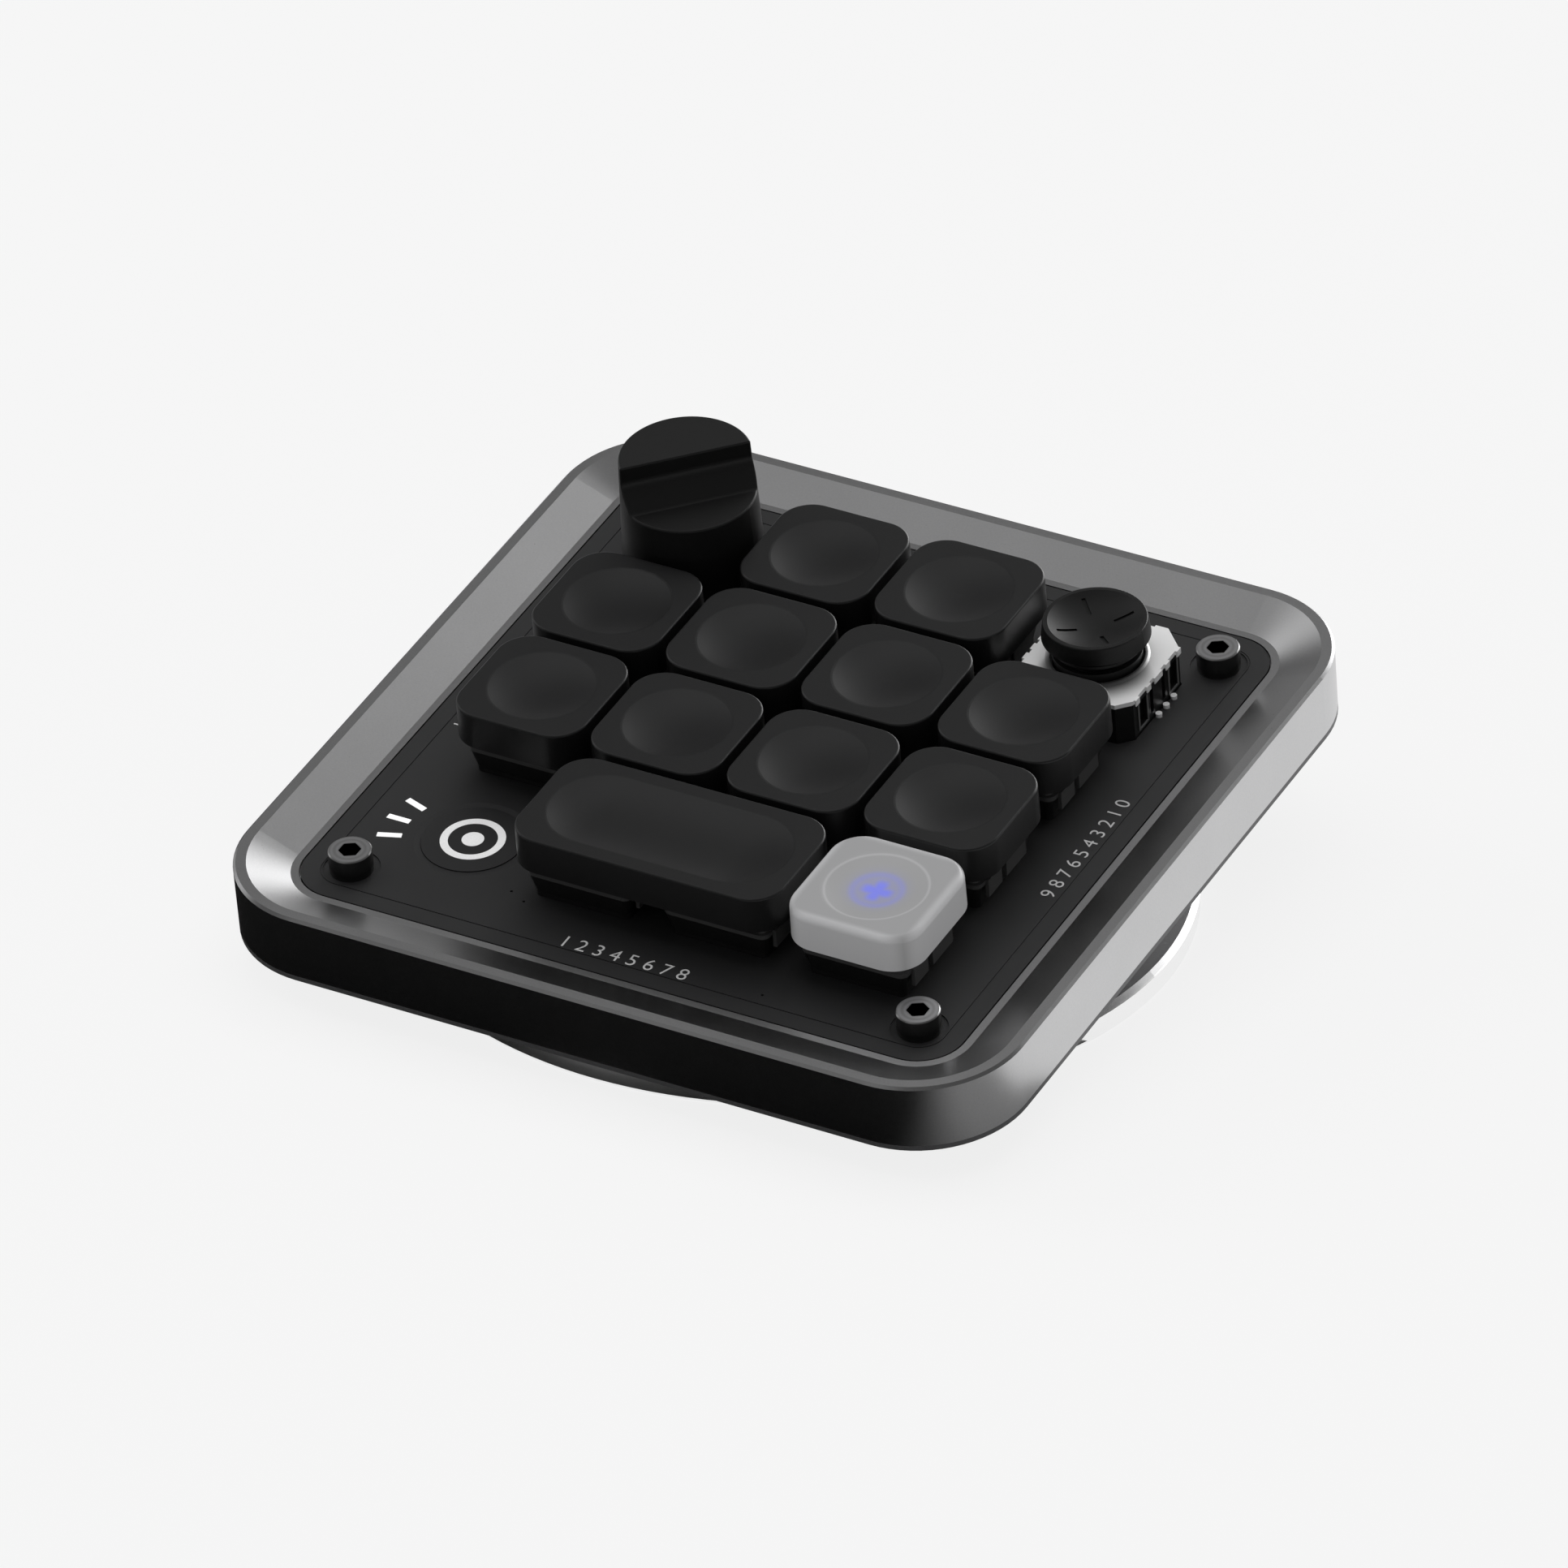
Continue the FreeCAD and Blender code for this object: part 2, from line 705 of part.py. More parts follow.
def keycap(x, y, half_x, edge_radius, hub_places):
    outer = lofted([rounded_outline(half_x + cap_draft, cap_half + cap_draft, cap_corner, cap_bottom, x, y),
                    rounded_outline(half_x, cap_half, cap_corner, cap_top, x, y)])
    outer = outer.makeFillet(edge_radius, edges_at(outer, cap_top))
    roof = cap_top - cap_roof
    cap = outer.cut(rounded_block(half_x - cap_wall, cap_half - cap_wall, cap_inner_corner,
                                  cap_bottom - overrun, roof, x, y))
    for hub_x in hub_places:
        hub = drum(cap_hub_radius, stem_top, roof + cap_wall / 2, hub_x, y)
        cap = cap.fuse(hub)
    cap = cap.removeSplitter()
    for hub_x in hub_places:
        cap = cap.cut(cross_block(cross_length + slip_gap, cross_thickness + slip_gap,
                                  stem_top - overrun, stem_top + cross_height + slip_gap, hub_x, y))
    span = 2 * (half_x - cap_half)
    for cutter in dish_cutter(x, y, span):
        cap = cap.cut(cutter)
    rim = edges_near(cap, cap_top, x, y, span / 2 + dish_radius, dish_radius)
    return cap.makeFillet(dish_rim_radius, rim)


# Knob: a tapered turned piece with one half of its top cut down to a step and a slope.
def make_knob():
    knob = cone(knob_bottom_radius, knob_top_radius, knob_bottom, knob_top, knob_x, knob_y)
    reach = knob_bottom_radius + overrun
    profile = [(0, knob_top + overrun), (0, knob_top - knob_wall_drop),
               (knob_slope_run, knob_floor), (reach, knob_floor), (reach, knob_top + overrun)]
    points = [vec(0, -away, height) for away, height in profile]
    cutter = Part.Face(Part.makePolygon(points + points[:1])).extrude(vec(2 * reach, 0, 0))
    cutter.translate(vec(-reach, 0, 0))
    shoulder = edges_near(cutter, knob_top - knob_wall_drop, 0, 0, reach, 0)
    cutter = cutter.makeFillet(knob_shoulder_radius, shoulder)
    valley = edges_near(cutter, knob_floor, 0, 0, reach, knob_slope_run)
    cutter = cutter.makeFillet(knob_valley_radius, valley)
    cutter.rotate(vec(0, 0, 0), vec(0, 0, 1), knob_cut_angle)
    cutter.translate(vec(knob_x, knob_y, 0))
    knob = knob.cut(cutter)
    rims = edges_at(knob, knob_top) + [edge for edge in edges_at(knob, knob_floor)
                                       if isinstance(edge.Curve, Part.Circle)]
    knob = knob.makeFillet(knob_edge_radius, rims)
    hollow = drum(knob_bottom_radius - knob_skirt, knob_bottom - overrun, knob_hollow_top, knob_x, knob_y)
    bore = shaft_blank(shaft_radius + running_gap, shaft_flat + running_gap,
                       knob_hollow_top - overrun, shaft_top + slip_gap, shaft_flat_bottom + slip_gap)
    return knob.cut(hollow).cut(bore)


def shaft_blank(radius, flat, low, high, flat_bottom):
    """Round shaft with one flat along its upper part."""
    shaft = drum(radius, low, high, knob_x, knob_y)
    return shaft.cut(box(knob_x + flat, knob_x + radius + overrun, knob_y - radius - overrun,
                         knob_y + radius + overrun, flat_bottom, high + overrun))


# Encoder: fixed body with a threaded neck, and inside it a plunger under the turning shaft.
def make_encoder_body():
    body = box(knob_x - encoder_half_x, knob_x + encoder_half_x, knob_y - encoder_half_y,
               knob_y + encoder_half_y, board_top, encoder_top)
    body = body.fuse(drum(bushing_radius, encoder_top, bushing_top, knob_x, knob_y)).removeSplitter()
    floor = plunger_top - plunger_thickness - knob_press - safe_gap
    body = body.cut(drum(encoder_cavity_radius, floor, encoder_cavity_roof, knob_x, knob_y))
    return body.cut(drum(shaft_radius + running_gap, 0, bushing_top + overrun, knob_x, knob_y))


def make_encoder_shaft():
    shaft = shaft_blank(shaft_radius, shaft_flat, shaft_bottom, shaft_top, shaft_flat_bottom)
    return shaft.fuse(drum(collar_radius, shaft_bottom, collar_top, knob_x, knob_y)).removeSplitter()


def make_encoder_plunger():
    return drum(plunger_radius, plunger_top - plunger_thickness, plunger_top, knob_x, knob_y)


# Joystick housing: black moulded box on the board with a round neck round the stick.
def chamfered_square(half, cut, back_cut):
    """Corners of a square with its corners cut, the back right one more."""
    return [(stick_x - half + cut, stick_y - half), (stick_x + half - cut, stick_y - half),
            (stick_x + half, stick_y - half + cut), (stick_x + half, stick_y + half - back_cut),
            (stick_x + half - back_cut, stick_y + half), (stick_x - half + cut, stick_y + half),
            (stick_x - half, stick_y + half - cut), (stick_x - half, stick_y - half + cut)]


def side_block(share, width_share, inner, outer, low, high, widen=0.0):
    """Block on the right side of the joystick, its place and width as shares of the half width."""
    middle = stick_y + share * joystick_half
    half = width_share * joystick_half / 2 + widen
    return box(stick_x + inner, stick_x + outer, middle - half, middle + half, low, high)


def make_joystick_housing():
    outline = chamfered_square(joystick_half, joystick_corner_cut, joystick_back_corner_cut)
    housing = prism(outline, board_top, joystick_box_top)
    housing = housing.fuse(drum(neck_radius, joystick_box_top, neck_top, stick_x, stick_y)).removeSplitter()
    hollow = chamfered_square(joystick_inner_half, joystick_corner_cut, joystick_back_corner_cut)
    housing = housing.cut(prism(hollow, board_top + joystick_floor, joystick_roof))
    housing = housing.cut(drum(neck_bore, 0, neck_top + overrun, stick_x, stick_y))
    for share, width_share in wide_slot_shares:
        housing = housing.fuse(side_block(share, width_share, joystick_half - slot_depth,
                                          joystick_half + slot_frame_thickness,
                                          slot_bottom - slot_frame_width, slot_top, slot_frame_width))
    housing = housing.removeSplitter()
    for share, width_share in wide_slot_shares + narrow_slot_shares:
        housing = housing.cut(side_block(share, width_share, joystick_half - slot_depth,
                                         joystick_half + overrun, slot_bottom, slot_top))
    for side in (-1, 1):
        pad_start, pad_end = gimbal_radius + safe_gap, joystick_inner_half
        housing = housing.fuse(box(stick_x + min(side * pad_start, side * pad_end),
                                   stick_x + max(side * pad_start, side * pad_end),
                                   stick_y - gimbal_web, stick_y + gimbal_web,
                                   board_top + joystick_floor,
                                   stick_pivot_height - gimbal_pin_radius - running_gap))
        bore_start = vec(stick_x + side * (joystick_inner_half - overrun), stick_y, stick_pivot_height)
        housing = housing.cut(Part.makeCylinder(gimbal_pin_radius + running_gap,
                                                gimbal_pin_seat + slip_gap + overrun, bore_start,
                                                vec(side, 0, 0)))
    return housing.removeSplitter()


def terminals(gap, low, high):
    """Three round pins at the foot of the joystick's right side."""
    place_x = stick_x + joystick_half + terminal_radius + running_gap
    return [drum(terminal_radius + gap, low, high, place_x,
                 stick_y + terminal_middle + step * terminal_pitch) for step in (-1, 0, 1)]


# Joystick cover: stamped bright steel with a raised skirt and side tabs, and the terminals.
def make_joystick_cover():
    low = joystick_box_top
    high = low + joystick_cover_thickness
    cover = prism(chamfered_square(joystick_half, joystick_corner_cut, joystick_back_corner_cut), low, high)
    hole_radius = neck_radius + cover_hole_gap
    skirt = cone(hole_radius + cover_skirt_width, hole_radius + cover_skirt_width / 2, high,
                 high + cover_skirt_height, stick_x, stick_y)
    cover = cover.fuse(skirt)
    for share, width_share in cover_tab_shares:
        cover = cover.fuse(side_block(share, width_share, joystick_half - cover_tab_thickness,
                                      joystick_half + cover_tab_thickness, low, high))
        cover = cover.fuse(side_block(share, width_share, joystick_half + slot_frame_thickness,
                                      joystick_half + cover_tab_thickness, high - cover_tab_drop, high))
    cover = cover.removeSplitter()
    for share in cover_left_notch_shares:
        notch_y = stick_y + share * joystick_half
        cover = cover.cut(box(stick_x - joystick_half - overrun, stick_x - joystick_half + cover_notch_depth,
                              notch_y - cover_notch_width / 2, notch_y + cover_notch_width / 2, low, high))
    for share in cover_back_notch_shares:
        notch_x = stick_x + share * joystick_half
        cover = cover.cut(box(notch_x - cover_notch_width / 2, notch_x + cover_notch_width / 2,
                              stick_y + joystick_half - cover_notch_depth,
                              stick_y + joystick_half + overrun, low, high))
    cover = cover.cut(drum(hole_radius, 0, neck_top, stick_x, stick_y))
    return Part.makeCompound([cover] + terminals(0, board_top, terminal_top))


def make_joystick_gimbal():
    low = stick_pivot_height - gimbal_half_height
    high = stick_pivot_height + gimbal_half_height
    ring = drum(gimbal_radius, low, high, stick_x, stick_y)
    pin = Part.makeCylinder(gimbal_pin_radius, 2 * gimbal_pin_end,
                            vec(stick_x - gimbal_pin_end, stick_y, stick_pivot_height), vec(1, 0, 0))
    ring = ring.fuse(pin).removeSplitter()
    ring = ring.cut(drum(gimbal_bore, low - overrun, high + overrun, stick_x, stick_y))
    bore = Part.makeCylinder(ball_pin_radius + running_gap, 2 * gimbal_pin_end,
                             vec(stick_x, stick_y - gimbal_pin_end, stick_pivot_height), vec(0, 1, 0))
    return ring.cut(bore)


def make_joystick_stick():
    pivot = vec(stick_x, stick_y, stick_pivot_height)
    ball = Part.makeSphere(ball_radius, pivot)
    reach = gimbal_radius - running_gap
    pin = Part.makeCylinder(ball_pin_radius, 2 * reach, vec(stick_x, stick_y - reach, stick_pivot_height),
                            vec(0, 1, 0))
    dome = Part.makeSphere(dome_radius, pivot).cut(Part.makeSphere(dome_radius - dome_wall, pivot))
    dome_low = stick_pivot_height + dome_radius * math.cos(math.radians(dome_half_angle))
    dome = dome.common(drum(dome_radius + overrun, dome_low, stick_pivot_height + dome_radius + overrun,
                            stick_x, stick_y))
    post = drum(stick_radius, stick_pivot_height, thumb_roof, stick_x, stick_y)
    return ball.fuse([pin, post, dome]).removeSplitter()


# Joystick cap: a round thumb rest, dished, hollow below, with four radial dashes cut in.
def make_joystick_cap():
    top_radius = thumb_radius - thumb_draft
    cap = cone(thumb_radius, top_radius, thumb_bottom, thumb_top, stick_x, stick_y)
    cap = cap.makeFillet(thumb_edge_radius, edges_at(cap, thumb_top))
    waist = drum(thumb_lip_radius - thumb_waist_inset, thumb_lip_bottom, thumb_bottom, stick_x, stick_y)
    lip = drum(thumb_lip_radius, thumb_lip_bottom, thumb_lip_top, stick_x, stick_y)
    cap = cap.fuse([waist, lip]).removeSplitter()
    cap = cap.cut(drum(thumb_bore, thumb_lip_bottom - overrun, thumb_roof, stick_x, stick_y))
    hub = drum(thumb_hub_radius, thumb_hub_bottom, thumb_roof, stick_x, stick_y)
    cap = cap.fuse(hub).removeSplitter()
    cap = cap.cut(drum(stick_radius + running_gap, thumb_hub_bottom - overrun, thumb_roof,
                       stick_x, stick_y))
    dish_reach = top_radius - thumb_rim
    dish_ball = (dish_reach ** 2 + thumb_dish_depth ** 2) / (2 * thumb_dish_depth)
    dish_centre = vec(stick_x, stick_y, thumb_top + dish_ball - thumb_dish_depth)
    cap = cap.cut(Part.makeSphere(dish_ball, dish_centre))
    deeper = Part.makeSphere(dish_ball + dash_depth, dish_centre)
    for corner in range(dash_corners):
        dash = box(dash_start, dash_end, -dash_width / 2, dash_width / 2, thumb_roof, thumb_top)
        dash.rotate(vec(0, 0, 0), vec(0, 0, 1), (corner + 0.5) * 360 / dash_corners)
        dash.translate(vec(stick_x, stick_y, 0))
        cap = cap.cut(dash.common(deeper))
    return cap


# Foot: a round base plate, a hollow wedge on it and a rubber pad under it.
def lean(shape):
    """Sets a piece of the keypad, drawn level, on the sloping top of the wedge."""
    placed = shape.copy()
    placed.translate(vec(0, 0, -cover_bottom))
    placed.rotate(vec(0, 0, 0), vec(1, 0, 0), tilt_angle)
    placed.translate(vec(0, 0, stand_height))
    return placed


def wedge_boss_places():
    return [(wedge_boss_place * math.cos(math.radians(360 * k / wedge_boss_count)),
             wedge_boss_place * math.sin(math.radians(360 * k / wedge_boss_count)))
            for k in range(wedge_boss_count)]


def flat_screw(x, y, head_low, tip):
    """Screw with a cone head and a straight slot, pointing up."""
    head_high = head_low + flat_head_height
    screw = cone(flat_head_radius, screw_radius, head_low, head_high, x, y)
    screw = screw.fuse(drum(screw_radius, head_high, tip, x, y)).removeSplitter()
    return screw.cut(box(x - flat_head_radius - overrun, x + flat_head_radius + overrun,
                         y - flat_head_slot / 2, y + flat_head_slot / 2,
                         head_low - overrun, head_low + flat_head_slot))


def flat_screw_hole(x, y, head_low, tip):
    head_high = head_low + flat_head_height
    hole = cone(flat_head_radius + running_gap, screw_radius + running_gap, head_low, head_high, x, y)
    hole = hole.fuse(drum(flat_head_radius + running_gap, head_low - overrun, head_low, x, y))
    return hole.fuse(drum(screw_radius + running_gap, head_high, tip, x, y)).removeSplitter()


def make_foot_base():
    base = drum(foot_radius, pad_proud, foot_top - foot_chamfer)
    base = base.fuse(cone(foot_radius, foot_radius - foot_chamfer, foot_top - foot_chamfer, foot_top))
    base = base.removeSplitter().cut(drum(pad_radius + slip_gap, 0, pad_thickness))
    for x, y in wedge_boss_places():
        base = base.cut(flat_screw_hole(x, y, pad_thickness, foot_top + overrun))
    return base


def make_foot_pad():
    return drum(pad_radius, 0, pad_thickness)


def make_foot_wedge():
    rise = wedge_radius * math.tan(math.radians(tilt_angle))
    top = stand_height + rise + overrun
    wedge = drum(wedge_radius, foot_top, top)
    hollow = drum(wedge_radius - wedge_wall, foot_top - overrun, top)
    above_roof = lean(box(-case_half, case_half, -case_half, case_half,
                          cover_bottom - wedge_roof, cover_bottom + case_half))
    wedge = wedge.cut(hollow.cut(above_roof))
    for x, y in wedge_boss_places():
        wedge = wedge.fuse(drum(wedge_boss_radius, foot_top, top, x, y))
    above_cover = lean(box(-case_half, case_half, -case_half, case_half,
                           cover_bottom, cover_bottom + case_half))
    wedge = wedge.cut(above_cover).removeSplitter()
    for x, y in wedge_boss_places():
        wedge = wedge.cut(drum(screw_radius + thread_gap, foot_top - overrun,
                               foot_top + foot_screw_reach + slip_gap, x, y))
    for x, y in four_corners(key_pitch):
        wedge = wedge.cut(lean(flat_screw_hole(x, y, cover_bottom - wedge_roof, cover_bottom + overrun)))
    return wedge


def make_flat_screws():
    screws = [flat_screw(x, y, pad_thickness, foot_top + foot_screw_reach) for x, y in wedge_boss_places()]
    for x, y in four_corners(key_pitch):
        tip = cover_top + stand_screw_reach - safe_gap
        screws.append(lean(flat_screw(x, y, cover_bottom - wedge_roof, tip)))
    return Part.makeCompound(screws)


def write_step(name, shape):
    shape.exportStep(os.path.join("parts", name + ".step"))


def key_name(row, column):
    return "r%dc%d" % (row + 1, column + 1)


os.makedirs("parts", exist_ok=True)

level_pieces = {
    "case_frame": make_case_frame(),
    "face_plate": make_face_plate(),
    "bottom_cover": make_bottom_cover(),
    "plate_screws": make_plate_screws(),
    "main_board": make_main_board(),
    "board_parts": make_board_parts(),
    "usb_socket": make_usb_socket(),
    "switch_bases": make_switch_bases(),
    "switch_tops": make_switch_tops(),
    "touch_disc": make_touch_disc(),
    "indicator_bars": make_indicator_bars(),
    "knob": make_knob(),
    "encoder_body": make_encoder_body(),
    "encoder_shaft": make_encoder_shaft(),
    "encoder_plunger": make_encoder_plunger(),
    "joystick_housing": make_joystick_housing(),
    "joystick_cover": make_joystick_cover(),
    "joystick_gimbal": make_joystick_gimbal(),
    "joystick_stick": make_joystick_stick(),
    "joystick_cap": make_joystick_cap(),
}
for row, column in small_keys:
    name, x, y = key_name(row, column), column_x(column), row_y(row)
    edge = clear_cap_edge_radius if (row, column) == clear_key else cap_edge_radius
    level_pieces["keycap_" + name] = keycap(x, y, cap_half, edge, [x])
    level_pieces["stem_" + name] = stem(x, y)
    level_pieces["spring_" + name] = spring(x, y)

wide_places = [column_x(column) for column in wide_columns]
wide_y = row_y(key_rows - 1)
wide_middle = sum(wide_places) / len(wide_places)
level_pieces["keycap_wide"] = keycap(wide_middle, wide_y, wide_cap_half, cap_edge_radius, wide_places)
level_pieces["stems_wide"] = Part.makeCompound([stem(x, wide_y) for x in wide_places])
level_pieces["springs_wide"] = Part.makeCompound([spring(x, wide_y) for x in wide_places])

for name, piece in level_pieces.items():
    write_step(name, lean(piece))

write_step("foot_base", make_foot_base())
write_step("foot_pad", make_foot_pad())
write_step("foot_wedge", make_foot_wedge())
write_step("flat_screws", make_flat_screws())
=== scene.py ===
import bpy
import bmesh
import math
from mathutils import Matrix, Vector


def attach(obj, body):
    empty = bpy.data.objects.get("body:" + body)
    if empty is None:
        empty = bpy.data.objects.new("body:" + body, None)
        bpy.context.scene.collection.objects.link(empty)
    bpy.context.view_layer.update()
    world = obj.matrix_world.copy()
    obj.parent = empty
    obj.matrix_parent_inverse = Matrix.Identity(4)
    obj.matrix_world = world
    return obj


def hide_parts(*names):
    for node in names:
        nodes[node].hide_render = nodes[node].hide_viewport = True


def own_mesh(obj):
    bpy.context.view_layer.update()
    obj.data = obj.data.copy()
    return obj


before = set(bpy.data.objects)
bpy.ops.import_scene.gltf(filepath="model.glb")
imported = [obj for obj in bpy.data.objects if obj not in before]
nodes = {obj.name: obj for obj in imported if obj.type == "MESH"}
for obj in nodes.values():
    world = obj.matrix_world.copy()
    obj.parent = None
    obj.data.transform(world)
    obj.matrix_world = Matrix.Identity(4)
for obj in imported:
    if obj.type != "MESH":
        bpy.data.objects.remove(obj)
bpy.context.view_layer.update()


# The case frame is one milled block of aluminium with round corners and a sloped inner edge. It is
# blasted with fine beads and anodised clear, so it is a soft grey metal with an even, very fine grain.
class Field:
    """One value or colour of a finish. A sum of fields adds the maths nodes that it needs."""

    def __init__(self, finish, socket):
        self.finish = finish
        self.socket = socket

    def joined(self, operation, first, second):
        vector = self.socket.type == "VECTOR"
        kind = "ShaderNodeVectorMath" if vector else "ShaderNodeMath"
        if vector:
            first, second = [(value,) * 3 if isinstance(value, (int, float)) else value
                             for value in (first, second)]
        return self.finish.node(kind, {"operation": operation}, {0: first, 1: second})

    def __add__(self, other):
        return self.joined("ADD", self, other)

    def __radd__(self, other):
        return self.joined("ADD", other, self)

    def __sub__(self, other):
        return self.joined("SUBTRACT", self, other)

    def __rsub__(self, other):
        return self.joined("SUBTRACT", other, self)

    def __mul__(self, other):
        return self.joined("MULTIPLY", self, other)

    def __rmul__(self, other):
        return self.joined("MULTIPLY", other, self)

    def __truediv__(self, other):
        return self.joined("DIVIDE", self, other)

    def __rtruediv__(self, other):
        return self.joined("DIVIDE", other, self)

    def __pow__(self, other):
        return self.joined("POWER", self, other)

    def larger(self, other):
        return self.joined("MAXIMUM", self, other)

    def smaller(self, other):
        return self.joined("MINIMUM", self, other)

    def size(self):
        return self.finish.node("ShaderNodeMath", {"operation": "ABSOLUTE"}, {0: self})

    def wave(self):
        """A sine from 0 to 1."""
        return self.finish.node("ShaderNodeMath", {"operation": "SINE"}, {0: self}) * 0.5 + 0.5

    def rise(self, start, end):
        """0 below start, 1 above end, and a soft step between them."""
        return self.finish.node("ShaderNodeMapRange", {"interpolation_type": "SMOOTHSTEP"},
                                {"Value": self, "From Min": start, "From Max": end})


class Finish:
    """A procedural material. Its patterns read Object coordinates, in metres."""

    def __init__(self, name, colour, roughness, metallic=0.0, specular=0.5):
        self.material = bpy.data.materials.new(name)
        self.material.use_nodes = True
        self.tree = self.material.node_tree
        self.surface = self.tree.nodes["Principled BSDF"]
        self.colour(colour)
        self.roughness(roughness)
        self.feed(self.surface.inputs["Metallic"], metallic)
        self.feed(self.surface.inputs["Specular IOR Level"], specular)
        self.place = self.node("ShaderNodeTexCoord", {}, {}, "Object")

    def feed(self, socket, value):
        if isinstance(value, Field):
            self.tree.links.new(value.socket, socket)
        elif socket.type == "RGBA":
            socket.default_value = tuple(value)[:3] + (1.0,)
        else:
            socket.default_value = value

    def node(self, kind, settings, inputs, output=0):
        made = self.tree.nodes.new(kind)
        for key, value in settings.items():
            setattr(made, key, value)
        for key, value in inputs.items():
            self.feed(made.inputs[key], value)
        return Field(self, made.outputs[output])

    def colour(self, value):
        self.feed(self.surface.inputs["Base Color"], value)

    def roughness(self, value):
        self.feed(self.surface.inputs["Roughness"], value)

    def mix(self, share, first, second):
        made = self.node("ShaderNodeMix", {"data_type": "RGBA"}, {"Factor": share}, 2)
        node = made.socket.node
        self.feed(node.inputs[6], first)
        self.feed(node.inputs[7], second)
        return made

    def noise(self, feature, detail=2.0, place=None):
        """Cloudy noise from 0 to 1 whose spots are about one feature wide."""
        return self.node("ShaderNodeTexNoise", {},
                         {"Vector": place or self.place, "Scale": 1.0 / feature, "Detail": detail})

    def bump(self, height, depth):
        """Height from 0 to 1 raises the surface by up to depth."""
        normal = self.node("ShaderNodeBump", {}, {"Height": height, "Distance": depth, "Strength": 1.0})
        self.feed(self.surface.inputs["Normal"], normal)

    def level(self, x, y, z=0.0):
        """Coordinates of the level keypad, before it is leaned back, measured from the place x, y, z."""
        raised = Vector((x, y, z + cover_drop))
        there = Matrix.Rotation(case_lean, 3, "X") @ raised + Vector((0, 0, stand_height))
        return self.node("ShaderNodeMapping", {"vector_type": "TEXTURE"},
                         {"Vector": self.place, "Location": there, "Rotation": (case_lean, 0, 0)})

    def parts(self, place):
        """The x, y and z of a place."""
        return [self.node("ShaderNodeSeparateXYZ", {}, {"Vector": place}, axis) for axis in range(3)]


case_lean = math.radians(8.19)
cover_drop = 0.00835
stand_height = 0.01084
screw_place = 0.0395
key_pitch = 0.01905


def blasted_metal(name, colour, roughness, grain=0.00022):
    """Bead-blasted metal: even fine pits and a faint cloud of tone."""
    finish = Finish(name, colour, roughness, metallic=1.0)
    pits = finish.noise(grain, 3.0)
    cloud = finish.noise(0.018, 2.0)
    dark = tuple(0.9 * part for part in colour)
    finish.colour(finish.mix((pits * 0.55 + cloud * 0.45).rise(0.3, 0.75), dark, colour))
    finish.roughness(roughness - 0.05 + pits * 0.1)
    finish.bump(pits, 0.0000012)
    return finish


def dress(finish, *names):
    for name in names:
        for slot in nodes[name].material_slots:
            slot.material = finish.material


case_metal = blasted_metal("case metal", (0.6, 0.6, 0.605), 0.3)
dress(case_metal, "case_frame")


# The bottom cover is a folded tray of darker anodised aluminium that closes the case from below. Its
# edge shows as a thin dark strip under the case.
cover_metal = blasted_metal("cover metal", (0.14, 0.14, 0.143), 0.45)
cover_metal.feed(cover_metal.surface.inputs["Metallic"], 0.5)
dress(cover_metal, "bottom_cover")


# The circuit board is glass fibre under a black solder mask, and stands on the cover's posts. The
# control chip and the sockets that take the switches are soldered to its lower side.
def moulded_plastic(name, colour, roughness, grain=0.00016, depth=0.000006, specular=0.5):
    """Moulded plastic with the fine even spark grain of its tool."""
    finish = Finish(name, colour, roughness, specular=specular)
    spark = finish.noise(grain, 2.0)
    cloud = finish.noise(0.009, 2.0)
    worn = tuple(1.12 * part for part in colour)
    finish.colour(finish.mix((spark * 0.5 + cloud * 0.5).rise(0.35, 0.7), colour, worn))
    finish.roughness(roughness - 0.04 + spark * 0.08)
    finish.bump(spark, depth)
    return finish


board_mask = moulded_plastic("board mask", (0.012, 0.016, 0.014), 0.35, grain=0.0006)
dress(board_mask, "main_board")
board_part_plastic = moulded_plastic("board part plastic", (0.03, 0.03, 0.03), 0.5)
dress(board_part_plastic, "board_parts")
socket_steel = blasted_metal("socket steel", (0.55, 0.54, 0.52), 0.25, grain=0.0004)
dress(socket_steel, "usb_socket")


# The face plate is a sheet of aluminium, laser cut for the switches and sprayed matte dark grey.
plate_paint = moulded_plastic("plate paint", (0.0165, 0.0165, 0.017), 0.5, grain=0.00012)
dress(plate_paint, "face_plate")


# Four socket screws of steel hold the plate. Their heads are turned bright on top. The six-sided recess is
# painted black as painted shade, and the sides are painted dark grey as a painted reflection of the dark
# plate.
screw_steel = blasted_metal("screw steel", (0.62, 0.62, 0.63), 0.3)
across, along, up = screw_steel.parts(screw_steel.level(0, 0))
from_axis = ((across.size() - screw_place) ** 2 + (along.size() - screw_place) ** 2) ** 0.5
recess_reach = 0.0016
head_start, head_end = 0.00262, 0.00276
lathe_marks = 9000
bright = screw_steel.mix((from_axis * lathe_marks).wave(), (0.5, 0.5, 0.5), (0.64, 0.64, 0.65))
# Painted shade: near black inside the six-sided recess, and dark grey on the head's sides as a painted
# reflection of the dark plate.
black = screw_steel.mix(from_axis.rise(recess_reach, 0.002), (0.002,) * 3, (0.16, 0.16, 0.16))
screw_steel.colour(screw_steel.mix(up.rise(head_start, head_end), black, bright))
dress(screw_steel, "plate_screws")


# Each switch is a black moulded base that clips into the plate and a black top that holds the stem. A
# coil of spring wire stands on the base's floor, inside the stem, and shortens as the key goes down.
switch_plastic = moulded_plastic("switch plastic", (0.008, 0.008, 0.008), 0.4)
dress(switch_plastic, "switch_bases")
switch_top_plastic = moulded_plastic("switch top plastic", (0.06, 0.06, 0.06), 0.35)
dress(switch_top_plastic, "switch_tops")
stem_plastic = moulded_plastic("stem plastic", (0.35, 0.34, 0.32), 0.4)
spring_steel = blasted_metal("spring steel", (0.5, 0.5, 0.5), 0.25)


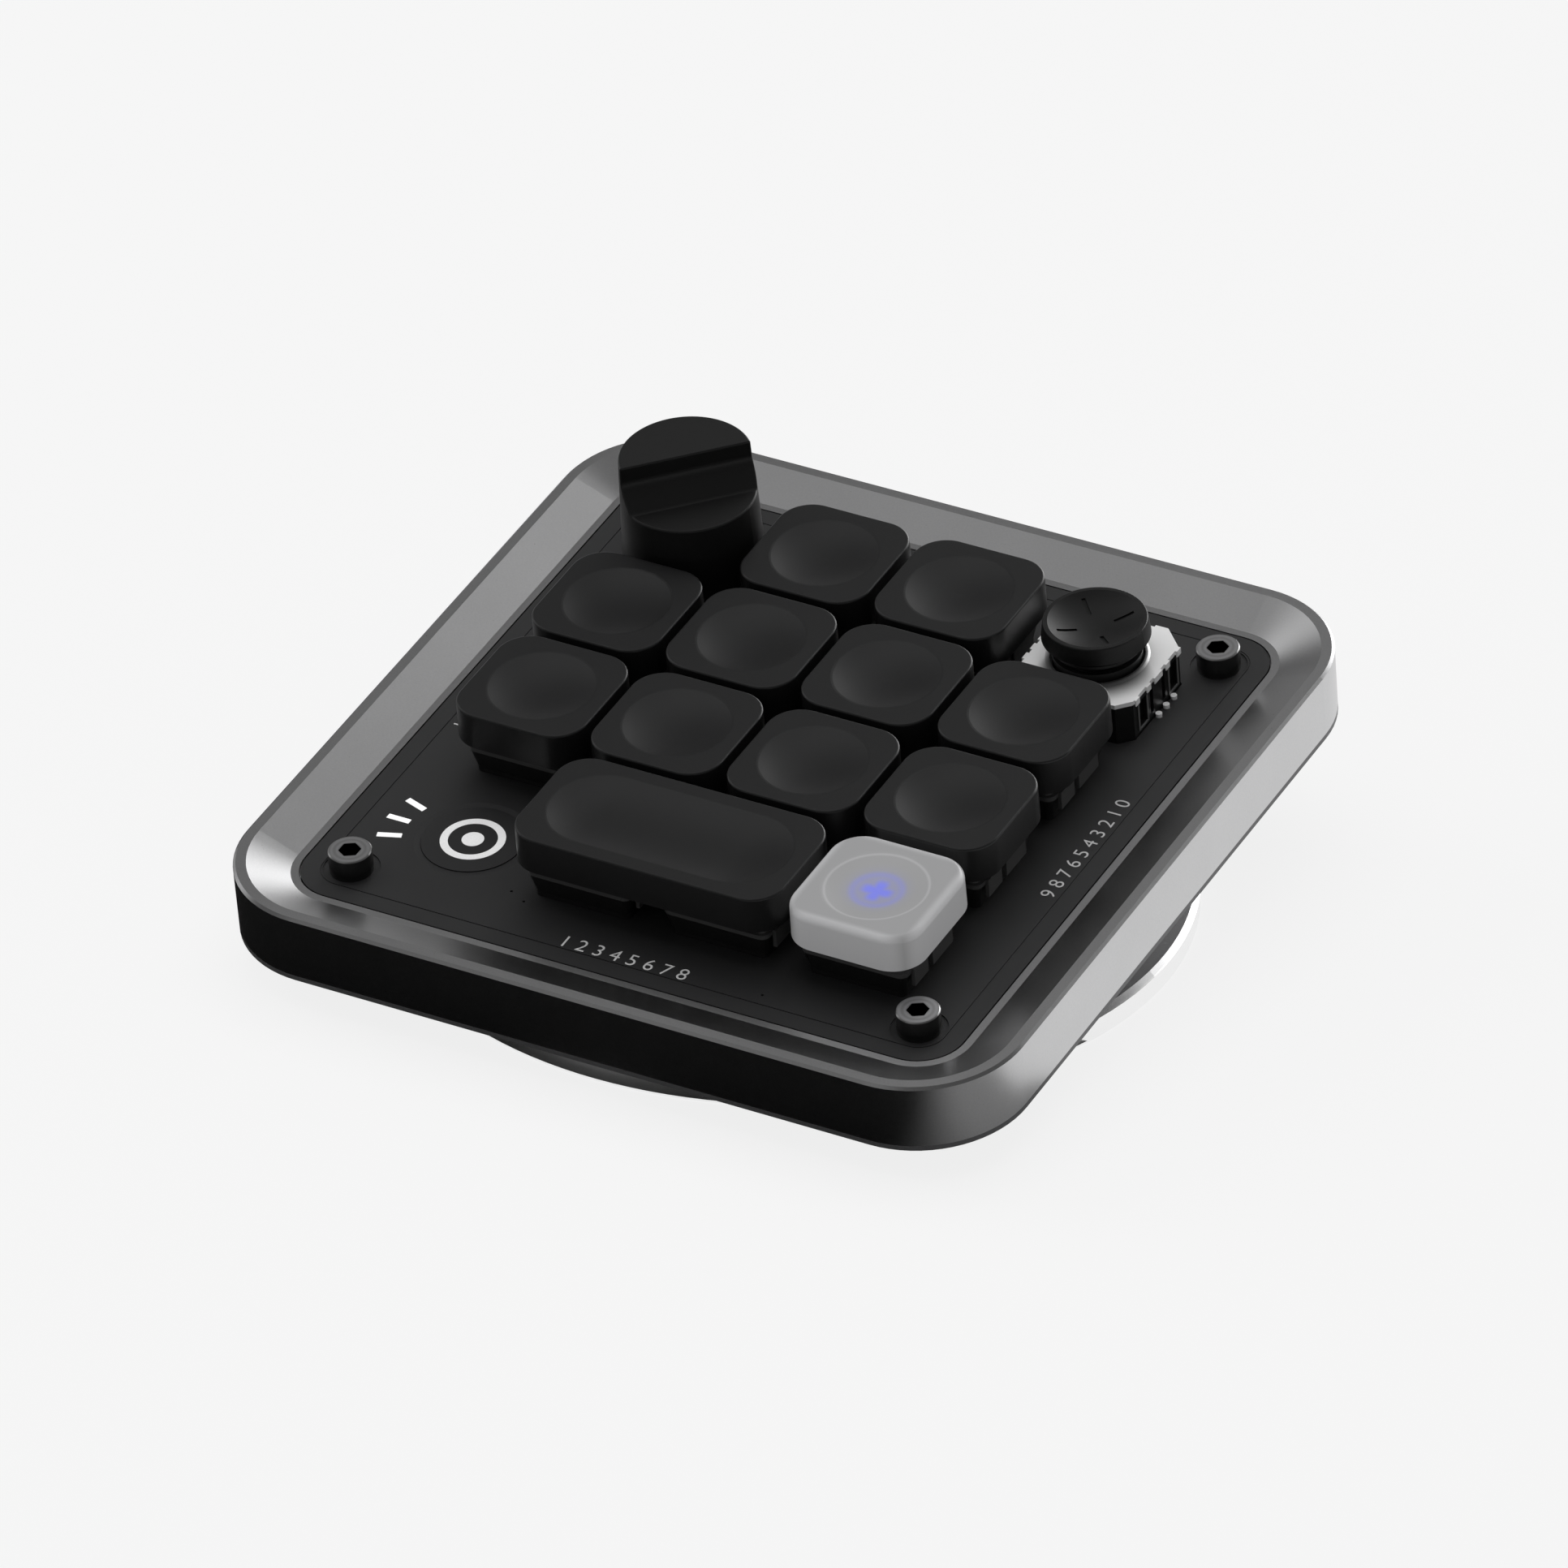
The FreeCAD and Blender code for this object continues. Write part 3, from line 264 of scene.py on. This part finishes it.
def coil(name):
    """A key's spring: a copy of its CAD node in spring steel, riding on the base."""
    piece = bpy.data.objects.new(name + "_coil", nodes[name].data.copy())
    bpy.context.scene.collection.objects.link(piece)
    piece.data.materials.clear()
    piece.data.materials.append(spring_steel.material)
    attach(piece, "base")
    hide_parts(name)
    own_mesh(piece)


for name in nodes:
    kind, _, key = name.partition("_")
    if kind in ("stem", "stems"):
        dress(stem_plastic, name)
    if kind in ("spring", "springs"):
        coil(name)


# The key caps are moulded from black plastic with a fine matte grain. One cap is frosted and clear. The
# glow of the lamp under it is painted into the cap as a blue painted glow, and its edges and dish rim carry
# painted highlights.
key_plastic = moulded_plastic("key plastic", (0.0074, 0.0074, 0.0076), 0.36)
for name in nodes:
    if name.startswith("keycap"):
        dress(key_plastic, name)
frosted_grey, frosted_highlight = (0.24, 0.24, 0.245), (0.42, 0.42, 0.43)
frosted_plastic = moulded_plastic("frosted key plastic", frosted_grey, 0.3)
across, along, up = frosted_plastic.parts(frosted_plastic.level(1.5 * key_pitch, -1.5 * key_pitch))
from_axis = (across ** 2 + along ** 2) ** 0.5
cap_floor, cap_face = 0.0088, 0.0092
arm_core, arm_side, arm_end = 0.0002, 0.0012, 0.0026
barrel_inside, barrel_middle, barrel_outside = 0.0022, 0.0031, 0.0039
haze_inside, haze_outside = 0.0005, 0.0052
dish_radius, dish_line = 0.0064, 0.0003
cap_edge_start, cap_edge_end = 0.0074, 0.0088


def arm(sideways, lengthways):
    """The painted glow of one bar of the cross on which the cap sits."""
    return (1 - sideways.size().rise(arm_core, arm_side)) * (1 - lengthways.size().rise(arm_side, arm_end))


def ring(inside, middle, outside):
    """A soft ring that is strongest at its middle radius."""
    return from_axis.rise(inside, middle) * (1 - from_axis.rise(middle, outside))


# Painted glow: the stem's cross, a ring and a haze under the dish are painted blue into the base colour and
# the emission.
on_top = up.rise(cap_floor, cap_face)
barrel = ring(barrel_inside, barrel_middle, barrel_outside)
haze = 1 - from_axis.rise(haze_inside, haze_outside)
painted_glow = arm(along, across).larger(arm(across, along)) * 0.6 + barrel * 0.22 + haze * 0.24
painted_glow = (painted_glow * on_top).smaller(1.0)
# Painted highlights: the cap's edges and a thin line round the dish's rim are painted a lighter grey.
dish_rim_highlight = ring(dish_radius - dish_line, dish_radius, dish_radius + dish_line) * on_top
edges = across.size().larger(along.size()).rise(cap_edge_start, cap_edge_end).larger(dish_rim_highlight * 0.5)
cap_grey = frosted_plastic.mix(edges, frosted_grey, frosted_highlight)
frosted_plastic.colour(frosted_plastic.mix(painted_glow, cap_grey, (0.1, 0.11, 0.2)))
# The whole cap has a faint painted grey glow as emission, and a blue one where the painted glow lies.
frosted_plastic.feed(frosted_plastic.surface.inputs["Emission Color"],
                     frosted_plastic.mix(painted_glow, (0.1, 0.1, 0.1), (0.1, 0.12, 0.68)))
frosted_plastic.feed(frosted_plastic.surface.inputs["Emission Strength"], 1.0)
dress(frosted_plastic, "keycap_r4c4")


# The knob is turned from aluminium and anodised black. Its steel shaft runs in the encoder's body.
knob_metal = moulded_plastic("knob black", (0.0062, 0.0062, 0.0062), 0.4, specular=0.4)
dress(knob_metal, "knob")
shaft_steel = blasted_metal("shaft steel", (0.5, 0.5, 0.5), 0.3)
dress(shaft_steel, "encoder_shaft")
encoder_plastic = moulded_plastic("encoder plastic", (0.02, 0.02, 0.02), 0.45)
dress(encoder_plastic, "encoder_body")
plunger_brass = blasted_metal("plunger brass", (0.6, 0.42, 0.2), 0.3)
dress(plunger_brass, "encoder_plunger")


# The joystick is a black moulded housing under a bright pressed steel cover. Its stick stands in a
# gimbal and carries a rubber thumb cap.
housing_black, frame_grey = (0.007,) * 3, (0.12,) * 3
joystick_plastic = moulded_plastic("joystick plastic", housing_black, 0.3)
across, along, up = joystick_plastic.parts(joystick_plastic.level(1.5 * key_pitch, 1.5 * key_pitch))
wall_side, frame_side = 0.00842, 0.00846
joystick_plastic.colour(joystick_plastic.mix(across.rise(wall_side, frame_side), housing_black, frame_grey))
dress(joystick_plastic, "joystick_housing", "joystick_gimbal", "joystick_stick")
steel_white, painted_neck_shade = (0.95,) * 3, (0.05,) * 3
joystick_steel = blasted_metal("joystick steel", steel_white, 0.4)
across, along, up = joystick_steel.parts(joystick_steel.level(1.5 * key_pitch, 1.5 * key_pitch))
from_axis = (across ** 2 + along ** 2) ** 0.5
# Painted shade: the cover is painted near black round the neck as a painted shadow and reflection of the
# black cap, reaching further towards the front.
neck_radius, shade_back, shade_front = 0.0058, 0.0008, 0.0034
frontward = (across * 0.35 - along).rise(0.0, 0.006)
near_neck = 1 - ((from_axis - neck_radius) / (shade_back + frontward * shade_front)).rise(0.0, 1.0)
joystick_steel.colour(joystick_steel.mix(near_neck * up.rise(0.0, 0.002), steel_white, painted_neck_shade))
joystick_steel.feed(joystick_steel.surface.inputs["Metallic"], 0.3)
dress(joystick_steel, "joystick_cover")
thumb_rubber = moulded_plastic("thumb rubber", (0.005, 0.005, 0.005), 0.44, specular=0.36)
dress(thumb_rubber, "joystick_cap")


# The touch sensor is a disc of dark glass-filled plastic let into the plate. Beside it three small
# bars of clear plastic shine white.
touch_plastic = moulded_plastic("touch plastic", (0.014, 0.014, 0.0145), 0.45)
dress(touch_plastic, "touch_disc")
bar_plastic = moulded_plastic("bar plastic", (0.6, 0.6, 0.6), 0.4)
bar_plastic.feed(bar_plastic.surface.inputs["Emission Color"], (1, 1, 1))
bar_plastic.feed(bar_plastic.surface.inputs["Emission Strength"], 0.55)
dress(bar_plastic, "indicator_bars")


# The marks are screen printed on the plate and on the touch sensor: a white ring with a dot where the
# finger goes, and plain grey numbers along the plate's front and sides.
print_white = moulded_plastic("print white", (0.85, 0.85, 0.85), 0.6, depth=0.000002)
print_grey = moulded_plastic("print grey", (0.5, 0.5, 0.5), 0.6, depth=0.000002)
print_height = 0.00002


def printed(name, ink, form, x, y, turn=0.0):
    """Sets flat print, drawn at the origin and one print height thick, on the level plate."""
    bmesh.ops.rotate(form, cent=(0, 0, 0), matrix=Matrix.Rotation(turn, 3, "Z"), verts=form.verts)
    bmesh.ops.translate(form, vec=(x, y, cover_drop), verts=form.verts)
    bmesh.ops.rotate(form, cent=(0, 0, 0), matrix=Matrix.Rotation(case_lean, 3, "X"), verts=form.verts)
    bmesh.ops.translate(form, vec=(0, 0, stand_height), verts=form.verts)
    bmesh.ops.recalc_face_normals(form, faces=form.faces)
    piece = bpy.data.objects.new(name, bpy.data.meshes.new(name))
    bpy.context.scene.collection.objects.link(piece)
    form.to_mesh(piece.data)
    form.free()
    piece.data.materials.append(ink.material)
    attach(piece, "base")


def number_form(digits, height):
    """Plain figures, centred on the origin, as a closed thin form."""
    letters = bpy.data.curves.new("figures", "FONT")
    letters.body = digits
    letters.size = height
    letters.align_x = "CENTER"
    letters.align_y = "CENTER"
    letters.extrude = print_height / 2
    letters.offset = -0.006 * height
    holder = bpy.data.objects.new("figures", letters)
    bpy.context.scene.collection.objects.link(holder)
    flat = bpy.data.meshes.new_from_object(holder.evaluated_get(bpy.context.evaluated_depsgraph_get()))
    bpy.data.objects.remove(holder)
    form = bmesh.new()
    form.from_mesh(flat)
    bpy.data.meshes.remove(flat)
    bmesh.ops.remove_doubles(form, verts=form.verts, dist=1e-7)
    bmesh.ops.translate(form, vec=(0, 0, print_height / 2), verts=form.verts)
    return form


def disc_form(radius, hole=0.0):
    """A thin disc or ring round the origin."""
    form = bmesh.new()
    if hole:
        outer = bmesh.ops.create_circle(form, segments=96, radius=radius)["verts"]
        inner = bmesh.ops.create_circle(form, segments=96, radius=hole)["verts"]
        edges = list({edge for vert in outer + inner for edge in vert.link_edges})
        bmesh.ops.bridge_loops(form, edges=edges)
    else:
        bmesh.ops.create_circle(form, cap_ends=True, segments=96, radius=radius)
    grown = bmesh.ops.extrude_face_region(form, geom=list(form.faces))["geom"]
    bmesh.ops.translate(form, vec=(0, 0, print_height),
                        verts=[part for part in grown if isinstance(part, bmesh.types.BMVert)])
    return form


touch_place = -1.5 * key_pitch
printed("touch_ring_print", print_white, disc_form(0.0041, 0.0031), touch_place, touch_place)
printed("touch_dot_print", print_white, disc_form(0.0014), touch_place, touch_place)
printed("front_number_print", print_grey, number_form("1 2 3 4 5 6 7 8", 0.0030), 0.0001, -0.04195)
printed("right_number_print", print_grey, number_form("9 8 7 6 5 4 3 2 1 0", 0.0028), 0.04165, -0.0002,
        math.radians(90))
printed("left_number_print", print_grey, number_form("10 20 30 40 50 60", 0.0026), -0.04145, 0.0,
        math.radians(90))


# The foot is a turned aluminium disc with a rubber pad let into its underside, and a hollow wedge that
# leans the case back. Its rim is painted lighter than its top as a painted highlight. Flat-head screws hold
# them together.
foot_grey, foot_rim_highlight = (0.84, 0.84, 0.845), (0.97,) * 3
rim_start, rim_end = 0.0504, 0.0505
foot_metal = blasted_metal("foot metal", foot_grey, 0.25)
across, along, up = foot_metal.parts(foot_metal.place)
# Painted highlight: the rim wall is painted lighter than the top.
on_rim = ((across ** 2 + along ** 2) ** 0.5).rise(rim_start, rim_end)
foot_metal.colour(foot_metal.mix(on_rim, foot_grey, foot_rim_highlight))
dress(foot_metal, "foot_base")
wedge_paint = moulded_plastic("wedge paint", (0.02, 0.02, 0.02), 0.5)
dress(wedge_paint, "foot_wedge")
pad_rubber = moulded_plastic("pad rubber", (0.015, 0.015, 0.015), 0.7)
dress(pad_rubber, "foot_pad")
flat_screw_steel = blasted_metal("flat screw steel", (0.3, 0.3, 0.31), 0.35)
dress(flat_screw_steel, "flat_screws")


# The stage is a plain white table top that runs to the horizon. Film, metal and clear parts see it
# white, and it keeps the keypad's soft shadow.
table = bpy.data.objects.new("table", bpy.data.meshes.new("table"))
bpy.context.scene.collection.objects.link(table)
form = bmesh.new()
bmesh.ops.create_circle(form, cap_ends=True, segments=96, radius=3.0)
form.to_mesh(table.data)
form.free()
table_white = 0.987
table_finish = Finish("table white", (0.6, 0.6, 0.6), 0.8, specular=0.0)
ray = [table_finish.node("ShaderNodeLightPath", {}, {}, output)
       for output in ("Is Camera Ray", "Is Glossy Ray", "Is Transmission Ray")]
seen = ray[0].larger(ray[1]).larger(ray[2])
glow = table_finish.node("ShaderNodeEmission", {}, {"Color": (table_white,) * 3, "Strength": 1.0})
white_share = 0.85
table_mix = table_finish.node("ShaderNodeMixShader", {}, {0: seen * white_share, 2: glow})
table_finish.tree.links.new(table_finish.surface.outputs[0], table_mix.socket.node.inputs[1])
table_finish.tree.links.new(table_mix.socket,
                            table_finish.tree.nodes["Material Output"].inputs["Surface"])
table.data.materials.append(table_finish.material)


# A cloth lies on the table in front of the keypad, black on the left and grey on the right, with a grey
# strip round the foot. Only reflections see it, and it keeps the front edges of the metal dark.
def seen_in_gloss_only(holder):
    holder.visible_camera = False
    holder.visible_diffuse = False
    holder.visible_transmission = False
    holder.visible_shadow = False


cloth = bpy.data.objects.new("studio cloth", bpy.data.meshes.new("studio cloth"))
bpy.context.scene.collection.objects.link(cloth)
form = bmesh.new()
cloth_half, cloth_edge, cloth_height = 0.15, 0.0245, 0.0004
bmesh.ops.create_grid(form, x_segments=1, y_segments=1, size=cloth_half)
bmesh.ops.translate(form, vec=(cloth_edge - cloth_half, 0, cloth_height), verts=form.verts)
bmesh.ops.rotate(form, cent=(0, 0, 0), matrix=Matrix.Rotation(math.radians(45), 3, "Z"), verts=form.verts)
form.to_mesh(cloth.data)
form.free()
cloth_black, cloth_pale, foot_strip = (0.008,) * 3, (0.33,) * 3, (0.3,) * 3
strip_inside, strip_outside = 0.0535, 0.0565
cloth_finish = Finish("cloth black", cloth_black, 0.9, specular=0.0)
east, north, height = cloth_finish.parts(cloth_finish.place)
outward = (east + north) * math.sqrt(0.5)
from_axis = (east ** 2 + north ** 2) ** 0.5
cloth_grey = cloth_finish.mix(outward.rise(-0.012, 0.009), cloth_black, cloth_pale)
cloth_finish.colour(cloth_finish.mix(from_axis.rise(strip_inside, strip_outside), foot_strip, cloth_grey))
cloth_finish.bump(cloth_finish.noise(0.001), 0.0002)
cloth.data.materials.append(cloth_finish.material)
seen_in_gloss_only(cloth)


# The studio's walls and ceiling are dim grey. Soft bright windows stand low behind the keypad, and
# dimmer ones stand round the left side and high up. Only reflections see them.
studio = bpy.data.objects.new("studio walls", bpy.data.meshes.new("studio walls"))
bpy.context.scene.collection.objects.link(studio)
studio_radius = 2.9
form = bmesh.new()
bmesh.ops.create_uvsphere(form, u_segments=48, v_segments=24, radius=studio_radius)
form.to_mesh(studio.data)
form.free()
studio_finish = Finish("studio grey", (0, 0, 0), 1.0, specular=0.0)
toward = studio_finish.place / studio_radius


def from_direction(azimuth, elevation):
    """Angle in degrees from a compass direction."""
    azimuth, elevation = math.radians(azimuth), math.radians(elevation)
    middle = (math.sin(azimuth) * math.cos(elevation), math.cos(azimuth) * math.cos(elevation),
              math.sin(elevation))
    nearness = studio_finish.node("ShaderNodeVectorMath", {"operation": "DOT_PRODUCT"},
                                  {0: toward, 1: middle}, "Value")
    turned = studio_finish.node("ShaderNodeMath", {"operation": "ARCCOSINE"}, {0: nearness.smaller(1.0)})
    return turned * math.degrees(1)


wall_light = 0.1
window_core, window_edge = 2, 24
light = wall_light
for azimuth, elevation, strength in (
        (0, 4, 2.4), (0, 16, 3.9), (0, 28, 0.9), (0, 40, 0.8), (18, 28, 2.5), (30, 4, 0.7),
        (-36, 4, 0.35), (-36, 66, 0.4), (-72, 66, 0.4), (-80, 40, 1.0), (-90, 12, 0.7),
        (-160, 40, 0.2)):
    light = light + strength * (1 - from_direction(azimuth, elevation).rise(window_core, window_edge))
studio_finish.feed(studio_finish.surface.inputs["Emission Color"],
                   studio_finish.node("ShaderNodeCombineXYZ", {}, {0: light, 1: light, 2: light}))
studio_finish.feed(studio_finish.surface.inputs["Emission Strength"], 1.0)
studio.data.materials.append(studio_finish.material)
seen_in_gloss_only(studio)


# The lamps: a wide soft box overhead and a key from the left light the keypad. Their reflections
# are left to the studio walls.
def soft_box(name, place, width, height, strength):
    lamp = bpy.data.lights.new(name, "AREA")
    lamp.shape = "RECTANGLE"
    lamp.size = width
    lamp.size_y = height
    lamp.energy = strength * width * height * math.pi
    holder = bpy.data.objects.new(name, lamp)
    bpy.context.scene.collection.objects.link(holder)
    holder.location = place
    holder.rotation_euler = Vector(place).to_track_quat("Z", "Y").to_euler()
    holder.visible_glossy = False


soft_box("overhead box", (0.0, 0.25, 1.6), 1.6, 1.6, 1.7)
soft_box("left box", (-1.6, 0.0, 0.9), 0.9, 0.9, 3.1)

world = bpy.data.worlds.new("room")
bpy.context.scene.world = world
world.use_nodes = True
tree = world.node_tree
room = tree.nodes["Background"]
room.inputs["Color"].default_value = (0.38, 0.38, 0.38, 1)
white = tree.nodes.new("ShaderNodeBackground")
white.inputs["Color"].default_value = (0.922, 0.922, 0.922, 1)
path = tree.nodes.new("ShaderNodeLightPath")
blend = tree.nodes.new("ShaderNodeMixShader")
tree.links.new(path.outputs["Is Camera Ray"], blend.inputs[0])
tree.links.new(room.outputs[0], blend.inputs[1])
tree.links.new(white.outputs[0], blend.inputs[2])
tree.links.new(blend.outputs[0], tree.nodes["World Output"].inputs["Surface"])


# The camera stands in front, to the right and above, far off with a long lens.
azimuth = math.radians(28.81)
elevation = math.radians(30.04)
target = Vector((0.001339, -0.00463, 0.01861))
distance = 1.7224
back = Vector((math.sin(azimuth) * math.cos(elevation), -math.cos(azimuth) * math.cos(elevation),
               math.sin(elevation)))
lens = bpy.data.cameras.new("camera")
lens.sensor_width = 36.0
lens.lens = 321.35
lens.clip_start = 0.05
lens.clip_end = 20.0
camera = bpy.data.objects.new("camera", lens)
bpy.context.scene.collection.objects.link(camera)
camera.location = target + distance * back
camera.rotation_euler = back.to_track_quat("Z", "Y").to_euler()
bpy.context.scene.camera = camera
bpy.context.scene.view_settings.view_transform = "Standard"
